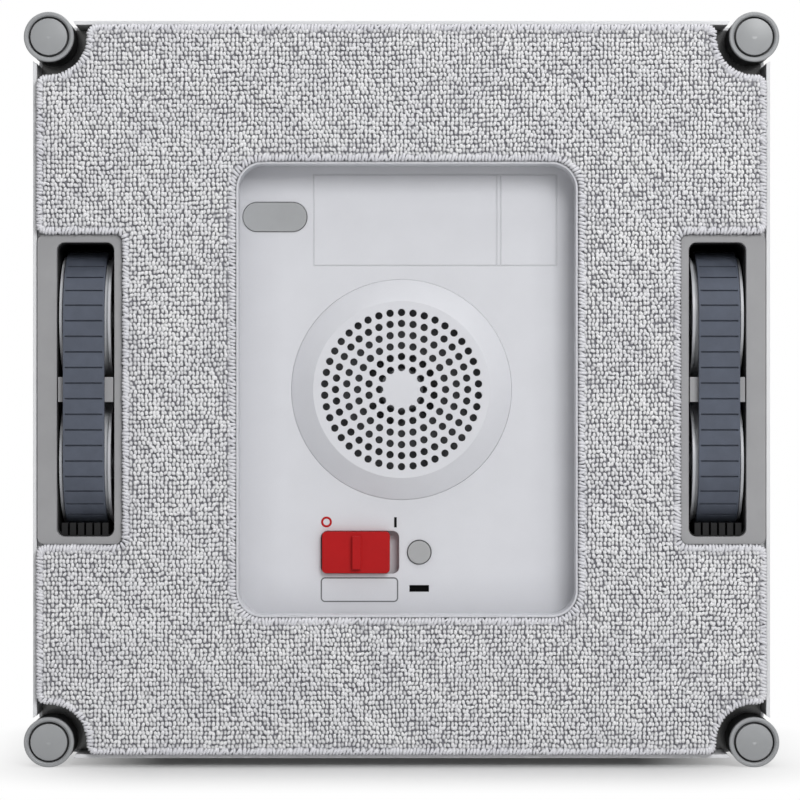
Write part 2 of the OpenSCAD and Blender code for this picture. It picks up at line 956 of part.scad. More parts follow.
module idler_axles() {
    for (mx = [0, 1])
        mirror([mx, 0, 0]) color("silver")
            rod_x(idler_axle_r, box_high, well_high + well_wall, wheel_y, idler_z);
}

module drive_shaft() {
    color("silver")
        rod_x(drive_shaft_r, box_low + run_gap, well_high + well_wall - run_gap, wheel_y, drive_z);
}
module left_drive_shaft() { left() drive_shaft(); }
module right_drive_shaft() { drive_shaft(); }

function polar(r, a) = [r * cos(a), r * sin(a)];
function inv(a) = tan(a) * 180 / PI - a;

// Points of a spur gear with involute flanks, its first tooth along the first axis
function gear_points(teeth) =
    let (
        rp = gear_module * teeth / 2,
        rb = rp * cos(pressure_angle),
        tip = rp + gear_module * gear_add_share,
        root = rp - gear_module * gear_ded_share,
        start = max(rb, root + gear_module * gear_root_share),
        half = 90 / teeth - gear_backlash / rp * 90 / PI + inv(pressure_angle),
        flank = [for (i = [0 : flank_steps])
            let (r = start + (tip - start) * i / flank_steps) [r, half - inv(acos(rb / r))]]
    )
    [for (k = [0 : teeth - 1])
        let (c = 360 * k / teeth)
        each concat(
            [polar(root, c - flank[0][1])],
            [for (i = [0 : flank_steps]) polar(flank[i][0], c - flank[i][1])],
            [for (i = [flank_steps : -1 : 0]) polar(flank[i][0], c + flank[i][1])],
            [polar(root, c + flank[0][1])]
        )];

module final_gear() {
    color("ivory") bar(gear_low, gear_high) translate([wheel_y, drive_z]) difference() {
        polygon(gear_points(gear_teeth));
        circle(drive_shaft_r);
    }
}
module left_final_gear() { left() final_gear(); }
module right_final_gear() { final_gear(); }

module motor_pinion() {
    color("goldenrod") {
        bar(gear_low, gear_high) translate([pinion_y, drive_z])
            rotate(180 / pinion_teeth) polygon(gear_points(pinion_teeth));
        rod_x(motor_shaft_r, box_low - motor_shaft_in, gear_high, pinion_y, drive_z);
    }
}
module left_motor_pinion() { left() motor_pinion(); }
module right_motor_pinion() { motor_pinion(); }

module gearbox() {
    color("dimgray") difference() {
        bar(box_low, box_high)
            box2(box_front, drive_z - box_half_h, box_back, drive_z + box_half_h);
        rod_x(gear_tip_r + gear_room, box_low + box_wall, box_high + over, wheel_y, drive_z);
        rod_x(pinion_tip_r + gear_room, box_low + box_wall, box_high + over, pinion_y, drive_z);
        rod_x(drive_shaft_r + bearing_gap, box_low - over, box_high, wheel_y, drive_z);
        rod_x(motor_shaft_r + bearing_gap, box_low - over, box_high, pinion_y, drive_z);
    }
}
module left_gearbox() { left() gearbox(); }
module right_gearbox() { gearbox(); }

module drive_motor() {
    color("silver") difference() {
        union() {
            rod_x(motor_r, box_low - motor_l + motor_cap_t, box_low, pinion_y, drive_z);
            rod_x(motor_flat_r, box_low - motor_l, box_low, pinion_y, drive_z);
        }
        rod_x(motor_shaft_r + bearing_gap, box_low - motor_shaft_in - run_gap, box_low + over,
              pinion_y, drive_z);
    }
}
module left_drive_motor() { left() drive_motor(); }
module right_drive_motor() { drive_motor(); }

module duct_outline(grow) {
    box2(-duct_half - grow, duct_low, duct_half + grow, vent_high + grow);
}

module vent_outline(grow) {
    box2(-duct_half - grow, vent_low - grow, duct_half + grow, vent_high + grow);
}

// Depth of the dome's outside, and of its inside, at a distance from the middle
function dome_at(r) = dome_y + sqrt(dome_r * dome_r - r * r);
function dome_in_at(r) = dome_y + sqrt(pow(dome_r - wall, 2) - r * r);
filter_back = dome_in_at(norm([duct_half + duct_wall, vent_high + duct_wall])) - run_gap;
filter_front = filter_back - filter_t;
hub_low = dome_in_at(hub_r + hub_flange_w) - slip - hub_flange_t;

module fan_housing() {
    color("gray") difference() {
        union() {
            rod_y(fan_r, fan_front, fan_back);
            rod_y(fan_collar_r, fan_collar_front, fan_front);
            slab(duct_front - duct_wall, duct_back + duct_wall) duct_outline(duct_wall);
            slab(duct_back, filter_front) vent_outline(duct_wall);
        }
        rod_y(fan_r - fan_wall, fan_front + fan_plate_t, fan_back - fan_wall);
        rod_y(fan_inlet_r, fan_collar_front - over, fan_front + 2 * fan_plate_t);
        rod_y(impeller_hub_r, fan_back - fan_wall - over, fan_back + over);
        slab(duct_front, duct_back) duct_outline(0);
        slab(duct_front, filter_front + over) vent_outline(0);
    }
}

module blade() {
    intersection() {
        difference() {
            circle(impeller_r - blade_set);
            circle(impeller_eye_r);
        }
        rotate(blade_bend_turn) translate([blade_bend_r, 0]) difference() {
            circle(blade_bend_r + blade_t / 2);
            circle(blade_bend_r - blade_t / 2);
        }
        rotate(blade_bend_turn) translate([0, -2 * impeller_r]) square([2 * impeller_r, 2 * impeller_r]);
    }
}

module fan_impeller() {
    color("lightgray") difference() {
        union() {
            slab(impeller_back - impeller_plate_t, impeller_back) circle(impeller_r);
            rod_y(impeller_hub_r, impeller_front, impeller_back);
            slab(impeller_front, impeller_back - impeller_plate_t)
                for (k = [0 : blade_count - 1])
                    rotate(360 * k / blade_count) blade();
        }
        rod_y(fan_shaft_r, impeller_front - over, impeller_back + over);
    }
}

module fan_shaft() {
    color("silver") rod_y(fan_shaft_r, shaft_front, shaft_back);
}

module fan_motor() {
    color("silver") difference() {
        union() {
            rod_y(fan_motor_r, fan_back, fan_back + fan_motor_l - motor_cap_t);
            rod_y(motor_flat_r, fan_back, fan_back + fan_motor_l);
        }
        rod_y(fan_shaft_r + bearing_gap, fan_back - over, shaft_back + run_gap);
    }
}

module control_board() {
    chip_z = (board_low + board_high) / 2;
    color("darkgreen") {
        slab(board_y, board_y + board_t) box2(board_left, board_low, board_right, board_high);
        for (x = [board_left + chip_gap : chip_w + chip_gap : board_right - chip_w])
            slab(board_y + board_t, board_y + board_t + chip_t)
                box2(x, chip_z - chip_h / 2, x + chip_w, chip_z + chip_h / 2);
    }
}

module battery_pack() {
    cell_r = cell_d / 2;
    color("steelblue") translate([0, battery_front + cell_r, battery_low]) {
        for (i = [0 : cell_count - 1])
            translate([(i - (cell_count - 1) / 2) * cell_pitch, 0, 0])
                cylinder(r = cell_r, h = battery_high - battery_low);
        translate([0, 0, cell_l / 2 + wrap_t])
            cube([(cell_count - 1) * cell_pitch, cell_d - 2 * wrap_set, cell_l], center = true);
    }
}

// Bracket of the upper right corner: floor, faceted wall and its ribs
module corner_bracket() {
    color("#0e0e10") difference() {
        union() {
            slab(bracket_floor, bracket_back) intersection() {
                translate([roller_c, roller_c]) circle(cup_r - slip);
                square(2 * (rim_in - slip), center = true);
            }
            slab(bracket_front, bracket_floor) intersection() {
                translate([roller_c, roller_c]) difference() {
                    circle(cup_r - slip);
                    rotate(180 / bracket_facets) circle(bracket_in_r, $fn = bracket_facets);
                }
                square(2 * (rim_in - slip), center = true);
            }
        }
        slab(bracket_floor - over, bracket_back + over)
            translate([roller_c, roller_c]) circle(roller_pin_r);
    }
}

module corner_brackets() {
    four_corners() corner_bracket();
}

module roller_pins() {
    four_corners() color("silver")
        translate([roller_c, 0, roller_c]) rod_y(roller_pin_r, pin_front, corner_back);
}

module roller(sx, sz) {
    color("#1e1e21") translate([sx * roller_c, 0, sz * roller_c]) difference() {
        rod_y(tyre_r, cap_back, roller_back);
        rod_y(roller_pin_r + bearing_gap, roller_bore_front, roller_back + over);
    }
}
module roller_upper_left() { roller(-1, 1); }
module roller_upper_right() { roller(1, 1); }
module roller_lower_left() { roller(-1, -1); }
module roller_lower_right() { roller(1, -1); }

// Grey ring with a bevelled inner edge, and the slightly domed disc inside it
module roller_cap(sx, sz) {
    ring_in = cap_disc_r + cap_groove;
    ring_front = cap_front + cap_ring_set;
    dome = (cap_disc_r * cap_disc_r + cap_dome * cap_dome) / (2 * cap_dome);
    color("darkgray") translate([sx * roller_c, 0, sz * roller_c]) {
        turned() polygon([
            [ring_in, cap_back], [ring_in, ring_front + cap_bevel],
            [ring_in + cap_bevel, ring_front], [roller_r - cap_bevel / 2, ring_front],
            [roller_r, ring_front + cap_bevel / 2], [roller_r, cap_back]
        ]);
        turned() intersection() {
            translate([0, cap_front + dome]) circle(dome, $fn = fine_fn);
            square([cap_disc_r, cap_back]);
        }
    }
}
module cap_upper_left() { roller_cap(-1, 1); }
module cap_upper_right() { roller_cap(1, 1); }
module cap_lower_left() { roller_cap(-1, -1); }
module cap_lower_right() { roller_cap(1, -1); }

// Profile of the dome, its surface set in by the same amount all over
module dome_profile(inset) {
    intersection() {
        translate([0, dome_y]) circle(dome_r - inset, $fn = 2 * fine_fn);
        square([2 * body_half, hub_top]);
    }
}

// What a round edge leaves out, from the edge's distance from the middle, above the dome's centre
module edge_waste(reach) {
    ring = dome_r - back_edge_r;
    mid = reach - back_edge_r;
    low = sqrt(ring * ring - mid * mid);
    difference() {
        box2(mid * dome_r / ring, low, reach + over, dome_r + over);
        translate([mid, low]) circle(back_edge_r + edge_set);
    }
}

// Rounds the edge between the dome and the sides, and at the corners
module edge_cuts() {
    for (a = side_turns)
        rotate([0, a, 0]) translate([0, dome_y, 0]) rotate([0, 90, 0]) rotate(90 - edge_turn / 2)
            rotate_extrude(angle = edge_turn, $fn = 2 * fine_fn) mirror([1, -1]) edge_waste(body_half);
    turned() translate([0, dome_y]) edge_waste(corner_reach);
}

// Profile of the hub, with its round upper edge and the flange behind the dome
module hub_profile() {
    box2(0, hub_low, hub_r - hub_edge_r, hub_top);
    box2(0, hub_low, hub_r, hub_top - hub_edge_r);
    box2(0, hub_low, hub_r + hub_flange_w, hub_low + hub_flange_t);
    translate([hub_r - hub_edge_r, hub_top - hub_edge_r]) circle(hub_edge_r);
}

module pocket_outline(grow) {
    round_rect(pocket_w + 2 * grow, pocket_h + 2 * grow, pocket_r + grow);
}

module screw_posts() {
    for (p = screw_spots)
        translate([p[0], 0, p[1]]) difference() {
            rod_y(screw_post_r, screw_boss_back, dome_at(norm(p)) - wall / 2);
            rod_y(screw_r, screw_boss_back - over, screw_boss_back + post_bore_l);
        }
}

module vent_slots() {
    pitch = (vent_high - vent_low) / vent_slots;
    slab(filter_back, dome_top) for (i = [0 : vent_slots - 1])
        let (z = vent_low + (i + 1 / 2) * pitch)
            box2(-vent_slot_half, z - vent_slot_h / 2, vent_slot_half, z + vent_slot_h / 2);
}

module stage_ribs() {
    for (sx = [-1, 1])
        translate([sx * (stage_half - stage_rib_t / 2), 0, start_z])
            slab(start_under - stage_rib_l, start_under)
                square([stage_rib_t, 2 * stage_half_h], center = true);
}

module top_shell() {
    boss_low = dome_at(norm([boss_x, boss_z]) + boss_r) - wall / 2;
    color("white") difference() {
        union() {
            difference() {
                intersection() {
                    turned() dome_profile(0);
                    slab(seam_y, hub_top) body_outline(0);
                }
                intersection() {
                    turned() dome_profile(wall);
                    slab(seam_y - over, hub_top) body_outline(wall);
                }
                edge_cuts();
                rod_y(hub_r + slip, seam_y, hub_top);
                vent_slots();
            }
            for (sx = [-1, 1])
                translate([sx * boss_x, 0, boss_z]) rod_y(boss_r, boss_low, boss_top);
            screw_posts();
        }
        translate([-boss_x, 0, boss_z]) rod_y(inlet_body_r + slip, seam_y, boss_top + over);
    }
}

// Round hub in the middle of the back, with the hollow for the hand under the handle
module back_hub() {
    color("white") difference() {
        union() {
            difference() {
                turned() hub_profile();
                difference() {
                    rod_y(hub_r - wall, hub_low - over, hub_top - wall);
                    slab(pocket_floor - wall, hub_top) pocket_outline(wall);
                }
                slab(pocket_floor, hub_top + over) pocket_outline(0);
            }
            stage_ribs();
        }
        translate([0, 0, start_z]) {
            rod_y(start_r + run_gap, start_under - over, hub_top + over);
            slab(hub_top - light_t, hub_top + over) difference() {
                circle(light_in + light_w);
                circle(light_in);
            }
        }
    }
}

module exhaust_filter() {
    color("dimgray") slab(filter_front, filter_back) vent_outline(duct_wall);
}

module handle() {
    top_bar = handle_top - bar_t;
    side_l = 2 * handle_half;
    color("white") difference() {
        intersection() {
            translate([0, 0, -handle_w / 2]) linear_extrude(handle_w) difference() {
                translate([0, hub_top]) intersection() {
                    round_rect(side_l, 2 * (handle_top - hub_top), handle_out_r);
                    box2(-side_l, 0, side_l, side_l);
                }
                translate([0, hub_top])
                    round_rect(side_l - 2 * leg_t, 2 * (top_bar - hub_top), (top_bar - hub_top) / 2);
            }
            bar(-handle_half, handle_half) translate([handle_top - hub_top, 0])
                round_rect(2 * hub_top, handle_w, handle_edge_r);
        }
        slab(handle_top - grip_t, handle_top + over) grip_outline(slip / 2);
    }
}

module grip_outline(grow) {
    round_rect(2 * (grip_half + grow), grip_w + 2 * grow, (grip_w - pill_flat) / 2 + grow);
}

module handle_grip() {
    color("dimgray") slab(handle_top - grip_t, handle_top + grip_proud) grip_outline(0);
}

module start_button() {
    color("silver") translate([0, 0, start_z]) {
        rod_y(start_r, start_under - start_flange_t, hub_top + start_proud);
        rod_y(start_r + start_flange, start_under - start_flange_t, start_under);
    }
}

module start_light_ring() {
    color("deepskyblue") translate([0, 0, start_z])
        slab(hub_top - light_t, hub_top + light_proud) difference() {
            circle(light_in + light_w);
            circle(light_in);
        }
}

module start_board() {
    color("darkgreen") translate([0, 0, start_z]) {
        slab(stage_front, stage_front + stage_t)
            square([2 * stage_half, 2 * stage_half_h], center = true);
        rod_y(tact_r, stage_front + stage_t,
              start_under - start_flange_t - start_travel - tact_gap);
    }
}

module power_inlet() {
    color("black") translate([-boss_x, 0, boss_z]) {
        difference() {
            union() {
                rod_y(inlet_flange_r, boss_top, inlet_front);
                rod_y(inlet_body_r, inlet_front - inlet_bore_l - inlet_floor_t, boss_top);
            }
            rod_y(inlet_bore_r, inlet_front - inlet_bore_l, inlet_front + over);
        }
        for (sx = [-1, 1])
            translate([sx * contact_x, 0, 0])
                rod_y(contact_r, inlet_front - inlet_bore_l, inlet_front - inlet_bore_l + contact_t);
    }
}

module rope_eyelet() {
    eye_r = eye_bore_r + eye_ring;
    eye_y = boss_top + eye_foot_t + eye_rise;
    color("silver") difference() {
        union() {
            translate([boss_x, 0, boss_z]) slab(boss_top, boss_top + eye_foot_t)
                square([eye_foot_w, eye_foot_h], center = true);
            bar(boss_x - eye_t / 2, boss_x + eye_t / 2) translate([eye_y, boss_z]) circle(eye_r);
            bar(boss_x - eye_t / 2, boss_x + eye_t / 2)
                translate([boss_top, boss_z - eye_r]) square([eye_y - boss_top, 2 * eye_r]);
        }
        rod_x(eye_bore_r, boss_x - eye_t, boss_x + eye_t, eye_y, boss_z);
    }
}

module case_screws() {
    for (p = screw_spots)
        color("silver") translate([p[0], 0, p[1]]) {
            rod_y(screw_head_r, plate_back - screw_head_t, plate_back);
            rod_y(screw_r, plate_back, plate_back + screw_l - screw_head_t);
        }
}

base_shell();
suction_tray();
suction_grille();
grille_gasket();
sensor_window();
switch_body();
power_knob();
reset_button();
service_port();
left_track_bezel();
right_track_bezel();
left_track_well();
right_track_well();
left_tread_belt();
right_tread_belt();
track_supports();
left_drive_wheel();
right_drive_wheel();
left_idler_wheel();
right_idler_wheel();
left_drive_shaft();
right_drive_shaft();
left_final_gear();
right_final_gear();
left_motor_pinion();
right_motor_pinion();
left_gearbox();
right_gearbox();
left_drive_motor();
right_drive_motor();
idler_axles();
fan_housing();
fan_impeller();
fan_shaft();
fan_motor();
control_board();
battery_pack();
corner_brackets();
roller_pins();
roller_upper_left();
roller_upper_right();
roller_lower_left();
roller_lower_right();
cap_upper_left();
cap_upper_right();
cap_lower_left();
cap_lower_right();
hook_strips();
cleaning_pad();
top_shell();
back_hub();
handle();
handle_grip();
start_button();
start_light_ring();
start_board();
exhaust_filter();
power_inlet();
rope_eyelet();
case_screws();
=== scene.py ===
import json
import math

import bmesh
import bpy
import numpy as np
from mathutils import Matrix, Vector


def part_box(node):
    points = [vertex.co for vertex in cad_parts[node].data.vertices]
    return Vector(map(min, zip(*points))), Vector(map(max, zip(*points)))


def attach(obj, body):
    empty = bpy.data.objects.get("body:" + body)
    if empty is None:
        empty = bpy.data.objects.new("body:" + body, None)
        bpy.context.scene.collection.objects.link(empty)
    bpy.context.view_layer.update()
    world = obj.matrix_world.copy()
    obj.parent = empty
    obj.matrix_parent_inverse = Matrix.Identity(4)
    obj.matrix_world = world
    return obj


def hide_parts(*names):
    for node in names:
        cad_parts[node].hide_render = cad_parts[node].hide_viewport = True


# Window cleaning robot, standing upright. X runs right, Z up and Y from the glass into the room.
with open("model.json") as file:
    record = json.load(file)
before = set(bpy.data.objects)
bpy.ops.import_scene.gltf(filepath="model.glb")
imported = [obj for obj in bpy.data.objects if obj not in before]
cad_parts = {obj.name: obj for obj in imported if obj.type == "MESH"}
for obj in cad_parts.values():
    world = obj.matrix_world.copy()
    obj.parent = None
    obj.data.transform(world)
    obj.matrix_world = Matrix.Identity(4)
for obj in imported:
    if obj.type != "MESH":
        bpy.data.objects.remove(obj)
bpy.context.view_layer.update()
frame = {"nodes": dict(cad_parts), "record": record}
NODES = frame["nodes"]
MM = 0.001
RNG = np.random.default_rng(7)

# Photograph: straight on, from one metre in front of the glass
CAMERA_DISTANCE = 1.0
CAMERA_X = -0.0005
CAMERA_Z = -0.0034
SENSOR = 36.0
LENS = 139.0

# Floor and lights
FLOOR_SIZE = 6.0
FLOOR_GAP = 0.1 * MM
FLOOR_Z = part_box("roller_lower_left")[0][2] - FLOOR_GAP
# Grey of the floor near the foot: with the fade to white beyond, a painted shadow round the object on top
# of its real shadow
FLOOR_SHADE = 0.7
KEY_PLACE = (0.0, 0.05, 1.1)
KEY_SIZE = 1.5
KEY_POWER = 10.5
FRONT_PLACE = (0.55, -1.4, 0.8)
FRONT_SIZE = 0.7
FRONT_POWER = 15.5
WORLD_LEVEL = 0.13

# Upright box round the object's foot, and the distances from it over which a painted shadow fades out and
# the floor turns plain white
FOOT_MIDDLE = (0.0, 0.05, 0.0)
FOOT_HALF = (0.078, 0.045, 1.0)
SHADOW_FADE_FROM = -0.01
SHADOW_FADE_TO = 0.075

# Noise of the materials, in waves per metre
MOTTLE_WAVES = 90.0
GLOSS_WAVES = 220.0
GRAIN_WAVES = 2600.0
BLOOM_WAVES = 160.0
PIT_WAVES = 1900.0
LINE_WAVES = 900.0
PATCH_WAVES = 75.0
FUZZ_WAVES = 3800.0
NOISE_RANGE = (0.3, 0.7)

# Stops of the colours that a noise value runs through, and how far the roughness strays with it
MOTTLE_STOPS = (0.35, 0.65)
BLOOM_STOPS = (0.4, 0.75)
PATCH_STOPS = (0.3, 0.7)
PLASTIC_STRAY = (-0.04, 0.05)
RUBBER_STRAY = (-0.08, 0.1)
METAL_STRAY = (-0.06, 0.08)

# Tones and relief of the materials
COAT_ROUGH = 0.12
DUST_GAIN = 1.28
DUST_ADDED = 0.008
LINE_TONE = 0.88
PATCH_TONES = ((243, 243, 245), (255, 255, 255))
PIT_DEPTH = 0.03 * MM
LINE_DEPTH = 0.01 * MM
FUZZ_DEPTH = 0.06 * MM

# Rounding of moulded edges in shading, and painted shade that darkens colours towards inner corners
EDGE_SOFT = 0.3 * MM
EDGE_SAMPLES = 4
OCCLUSION_SAMPLES = 8
OCCLUSION_FULL = 0.4

# Shading of the back casing: angle from which an edge stays sharp, sphere of its dome, large flat faces
SHARP_ANGLE = 28
SHELL_MERGE_GAP = 0.001 * MM
DOME_R = 390.18 * MM
DOME_MIDDLE = Vector((0, -317.98 * MM, 0))
DOME_SLACK = 0.1 * MM
DOME_FACING = 0.9
FLAT_AREA = 20 * MM * MM

# Outlines of the pad's flat front: grid of micrometres on which corners are matched, and sampling
KEYS_PER_METRE = 1e6
KEY_STEP = 1e-6
FRONT_SLACK = 0.01 * MM
LEAST_POINTS = 8
EDGE_STEP = 0.8 * MM
DISTANCE_BATCHES = 24

# Slow unevenness of the cloth, waves per millimetre and their bending
WAVE_X = (0.11, 1.7, 0.05)
WAVE_Z = (0.13, 1.3, 0.07)
WAVE_SLANT = (0.31, 0.23)

# Looped pad
PAD_PARTS = ("lower", "middle_lower", "middle_upper", "upper")
LOOP_PITCH_X = 1.27 * MM
LOOP_PITCH_Z = 1.42 * MM
LOOP_HALF = 0.46 * MM
LOOP_TUBE = 0.6 * MM
LOOP_RISE = 0.75 * MM
LOOP_SIDES = 5
LOOP_RINGS = 5
LOOP_TOP = 0.76 * MM
LOOP_ARCH = 1.35
LOOP_THIN = 0.1
LOOP_CLEAR = 0.02 * MM
LOOP_HALF_RANGE = (0.85, 1.2)
LOOP_TUBE_RANGE = (0.86, 1.14)
LOOP_JITTER = 0.13 * MM
LOOP_TOP_WAVE = 0.06 * MM
LOOP_TOP_SPREAD = 0.13 * MM
LEAN_SPREAD = 0.3
LEAN_WAVE = 0.25
LEAN_WAVE_SCALE = 0.6
WILD_SHARE = 0.12
WILD_LEAN = 1.4
ROW_SHIFT_SHARE = 0.2
ROW_BEND_SHARE = 0.3
ROW_BEND_SCALE = 1.7
EDGE_BAND = 1.3 * MM
EDGE_BAND_SLACK = 0.2 * MM
EDGE_LIFT = 0.5 * MM
EDGE_LIFT_REACH = 1.6 * MM
BACKING_FRONT = 1.4 * MM
BACKING_INSET = 0.45 * MM
SIDE_FACING = 0.2
MERGE_GAP = 0.002 * MM
STITCH_PITCH = 1.08 * MM
STITCH_TUBE = 0.56 * MM
STITCH_SIDES = 5
STITCH_PROBE = 0.8 * MM
STITCH_REACH_RANGE = (0.7, 1.3)
STITCH_TUBE_RANGE = (0.85, 1.12)
STITCH_SLANT = 0.3
STITCH_SLANT_SPREAD = 0.3
STITCH_DEPTH_SPREAD = 0.13 * MM

# Path of a stitch: distance inward from the pad's edge, and depth behind the glass. It starts at the foot,
# whose depth is measured from the pad's back
STITCH_FOOT_INWARD = 0.1 * MM
STITCH_FOOT = 0.5 * MM
STITCH_PATH = [
    (-0.42 * MM, 2.2 * MM), (-0.3 * MM, 1.25 * MM), (0.1 * MM, 0.76 * MM),
    (0.6 * MM, 0.72 * MM), (1.0 * MM, 0.95 * MM), (1.4 * MM, 1.6 * MM),
]

# Prints on the chamber's floor
PRINT_T = 0.05 * MM
WINDOW_PROUD = 0.4 * MM
RING_STEPS = 48
O_MARK_X = -24.6 * MM
O_MARK_Z = -43.4 * MM
O_MARK_OUT = 1.78 * MM
O_MARK_IN = 1.08 * MM
I_MARK_X = -2.0 * MM
I_MARK_Z = -43.5 * MM
I_MARK_W = 0.85 * MM
I_MARK_H = 3.35 * MM
LABEL_X = -13.8 * MM
LABEL_Z = -65.6 * MM
LABEL_W = 25.4 * MM
LABEL_H = 8.1 * MM
LABEL_R = 1.4 * MM
LABEL_LINE = 0.4 * MM


def level(value):
    """Linear level of an 8-bit display value."""
    c = value / 255
    return c / 12.92 if c <= 0.04045 else ((c + 0.055) / 1.055) ** 2.4


def shade(r, g, b):
    """Linear colour of an 8-bit display colour."""
    return (level(r), level(g), level(b), 1.0)


def new_material(name):
    """A material with its node tree, its Principled shader and its object coordinates."""
    mat = bpy.data.materials.new(name)
    mat.use_nodes = True
    tree = mat.node_tree
    shader = tree.nodes["Principled BSDF"]
    coords = tree.nodes.new("ShaderNodeTexCoord").outputs["Object"]
    return mat, tree, shader, coords


def noise(tree, coords, scale, detail=2.0):
    """Noise value from zero to one."""
    node = tree.nodes.new("ShaderNodeTexNoise")
    node.inputs["Scale"].default_value = scale
    node.inputs["Detail"].default_value = detail
    tree.links.new(coords, node.inputs["Vector"])
    return node.outputs["Fac"]


def remap(tree, value, source=(0.0, 1.0), target=(0.0, 1.0)):
    """Node that maps a value from one range to another."""
    node = tree.nodes.new("ShaderNodeMapRange")
    for key, at in zip(("From Min", "From Max", "To Min", "To Max"), source + target):
        node.inputs[key].default_value = at
    tree.links.new(value, node.inputs["Value"])
    return node


def uneven(tree, fac, rough, stray):
    """Roughness that strays from its mean with a noise value."""
    return remap(tree, fac, NOISE_RANGE, (rough + stray[0], rough + stray[1])).outputs["Result"]


def tones(tree, fac, stops, first, second):
    """Colour that runs from one colour to another as the value passes two stops."""
    node = tree.nodes.new("ShaderNodeValToRGB")
    for end, at, colour in zip(node.color_ramp.elements, stops, (first, second)):
        end.position = at
        end.color = colour
    tree.links.new(fac, node.inputs["Fac"])
    return node.outputs["Color"]


def multiply(tree, first, second):
    """Product of two colours."""
    mix = tree.nodes.new("ShaderNodeMix")
    mix.data_type = "RGBA"
    mix.blend_type = "MULTIPLY"
    mix.inputs[0].default_value = 1.0
    tree.links.new(first, mix.inputs[6])
    tree.links.new(second, mix.inputs[7])
    return mix.outputs[2]


def seen_by_camera(tree):
    """One for what the camera sees directly or mirrored in something, else zero."""
    path = tree.nodes.new("ShaderNodeLightPath")
    either = tree.nodes.new("ShaderNodeMath")
    either.operation = "MAXIMUM"
    tree.links.new(path.outputs["Is Camera Ray"], either.inputs[0])
    tree.links.new(path.outputs["Is Glossy Ray"], either.inputs[1])
    return either.outputs["Value"]


def blend(tree, share, first, second, output):
    """Shows the first shader, and the second one by its share."""
    mix = tree.nodes.new("ShaderNodeMixShader")
    tree.links.new(share, mix.inputs["Fac"])
    tree.links.new(first, mix.inputs[1])
    tree.links.new(second, mix.inputs[2])
    tree.links.new(mix.outputs["Shader"], tree.nodes[output].inputs["Surface"])


def bump(tree, shader, height, distance, edge=0.0):
    """Fine relief from a height, and softened edges where an edge radius is given."""
    node = tree.nodes.new("ShaderNodeBump")
    node.inputs["Distance"].default_value = distance
    tree.links.new(height, node.inputs["Height"])
    if edge:
        rounding = tree.nodes.new("ShaderNodeBevel")
        rounding.samples = EDGE_SAMPLES
        rounding.inputs["Radius"].default_value = edge
        tree.links.new(rounding.outputs["Normal"], node.inputs["Normal"])
    tree.links.new(node.outputs["Normal"], shader.inputs["Normal"])


def plastic(name, rgb, rough, grain=0.012, vary=0.03, coat=0.0, shine=0.5):
    """Moulded plastic: fine grain, slightly uneven gloss and a faint mottle in the colour."""
    mat, tree, shader, coords = new_material(name)
    base = shade(*rgb)
    dark = tuple(c * (1 - vary) for c in base[:3]) + (1.0,)
    pale = tuple(min(1.0, c * (1 + vary)) for c in base[:3]) + (1.0,)
    mottle = noise(tree, coords, MOTTLE_WAVES, 4.0)
    tree.links.new(tones(tree, mottle, MOTTLE_STOPS, dark, pale), shader.inputs["Base Color"])
    gloss = noise(tree, coords, GLOSS_WAVES)
    tree.links.new(uneven(tree, gloss, rough, PLASTIC_STRAY), shader.inputs["Roughness"])
    shader.inputs["Specular IOR Level"].default_value = shine
    shader.inputs["Coat Weight"].default_value = coat
    shader.inputs["Coat Roughness"].default_value = COAT_ROUGH
    bump(tree, shader, noise(tree, coords, GRAIN_WAVES, 3.0), grain * MM, EDGE_SOFT)
    return mat


def plastic_with_painted_shade(name, rgb, reach, darkest_painted_shade):
    """Moulded plastic with painted shade: an occlusion test darkens its colour softly towards its inner
    corners.
    """
    mat = plastic(name, rgb, rough=0.42, vary=0.012)
    tree = mat.node_tree
    base = tree.nodes["Principled BSDF"].inputs["Base Color"]
    tint = base.links[0].from_socket
    # Painted shade: the colour is darkened where nearby walls hide the surface
    near = tree.nodes.new("ShaderNodeAmbientOcclusion")
    near.samples = OCCLUSION_SAMPLES
    near.inputs["Distance"].default_value = reach
    shadow = remap(tree, near.outputs["AO"], (OCCLUSION_FULL, 1.0), (darkest_painted_shade, 1.0))
    tree.links.new(multiply(tree, tint, shadow.outputs["Result"]), base)
    return mat


def rubber(name, rgb, rough):
    """Matt rubber with a dusty bloom and a fine pitted skin."""
    mat, tree, shader, coords = new_material(name)
    base = shade(*rgb)
    dusty = tuple(min(1.0, c * DUST_GAIN + DUST_ADDED) for c in base[:3]) + (1.0,)
    bloom = noise(tree, coords, BLOOM_WAVES, 5.0)
    tree.links.new(tones(tree, bloom, BLOOM_STOPS, base, dusty), shader.inputs["Base Color"])
    tree.links.new(uneven(tree, bloom, rough, RUBBER_STRAY), shader.inputs["Roughness"])
    bump(tree, shader, noise(tree, coords, PIT_WAVES, 4.0), PIT_DEPTH, EDGE_SOFT)
    return mat


def metal(name, rgb, rough, streak=(1.0, 1.0, 1.0)):
    """Drawn or turned metal, its fine lines stretched along one direction."""
    mat, tree, shader, coords = new_material(name)
    shader.inputs["Metallic"].default_value = 1.0
    mapping = tree.nodes.new("ShaderNodeMapping")
    mapping.inputs["Scale"].default_value = streak
    tree.links.new(coords, mapping.inputs["Vector"])
    lines = noise(tree, mapping.outputs["Vector"], LINE_WAVES, 3.0)
    base = shade(*rgb)
    dark = tuple(c * LINE_TONE for c in base[:3]) + (1.0,)
    tree.links.new(tones(tree, lines, MOTTLE_STOPS, dark, base), shader.inputs["Base Color"])
    tree.links.new(uneven(tree, lines, rough, METAL_STRAY), shader.inputs["Roughness"])
    bump(tree, shader, lines, LINE_DEPTH)
    return mat


